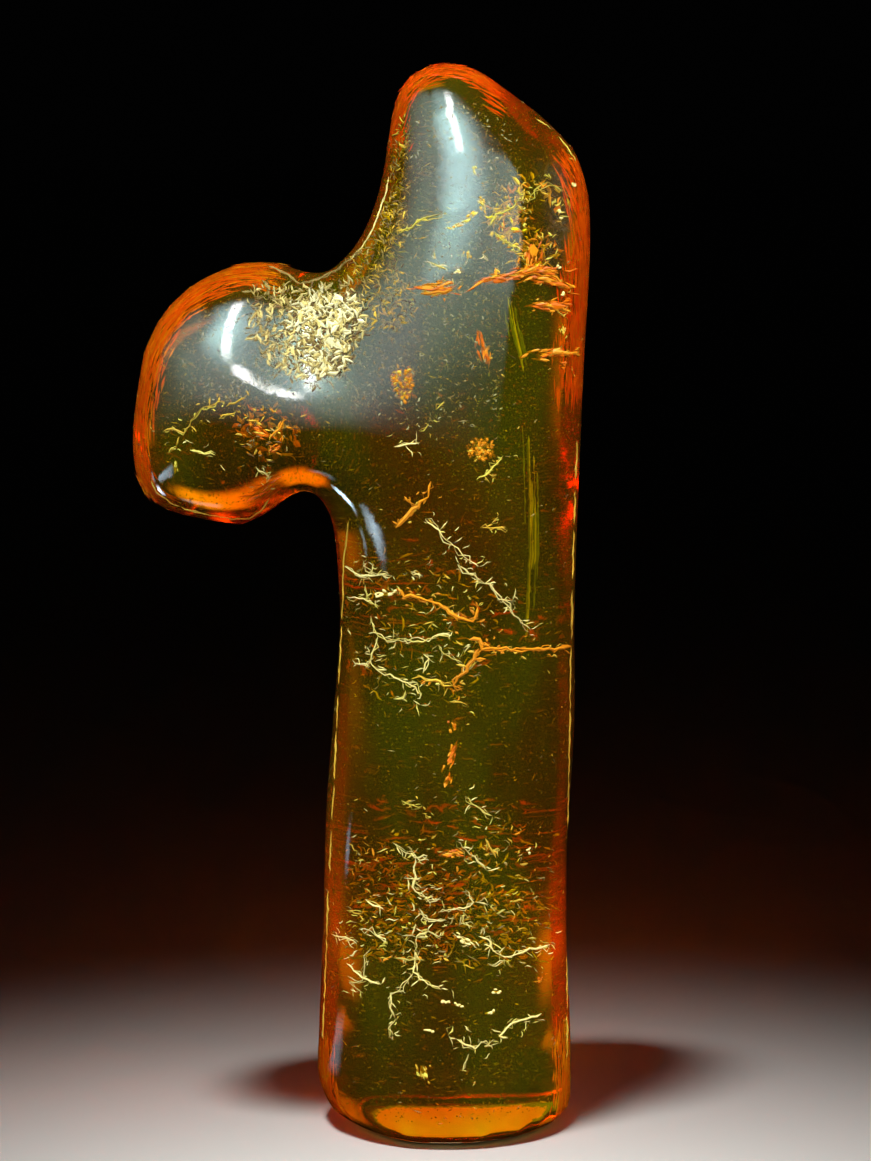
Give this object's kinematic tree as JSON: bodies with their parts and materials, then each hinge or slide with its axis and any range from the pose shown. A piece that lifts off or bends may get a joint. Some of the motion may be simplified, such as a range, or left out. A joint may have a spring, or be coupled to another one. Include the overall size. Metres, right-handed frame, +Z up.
{
  "type": "polished amber specimen",
  "caption": "Polished see-through amber column with a stub side branch and a slanted rounded tip, standing on a ground flat; fine cracks and flakes are sealed inside.",
  "frame": {"origin": "middle of the ground flat that the piece stands on", "axes": "+Z up along the column; the side branch points along -X; -Y is the face with the crusted pit"},
  "size_m": [0.0214, 0.0108, 0.0504],
  "materials": {
    "amber": "polished, see-through amber, dark olive-gold in the middle and orange-red at the rims"
  },
  "bodies": {
    "root": {"amber": "amber"}
  },
  "joints": []
}
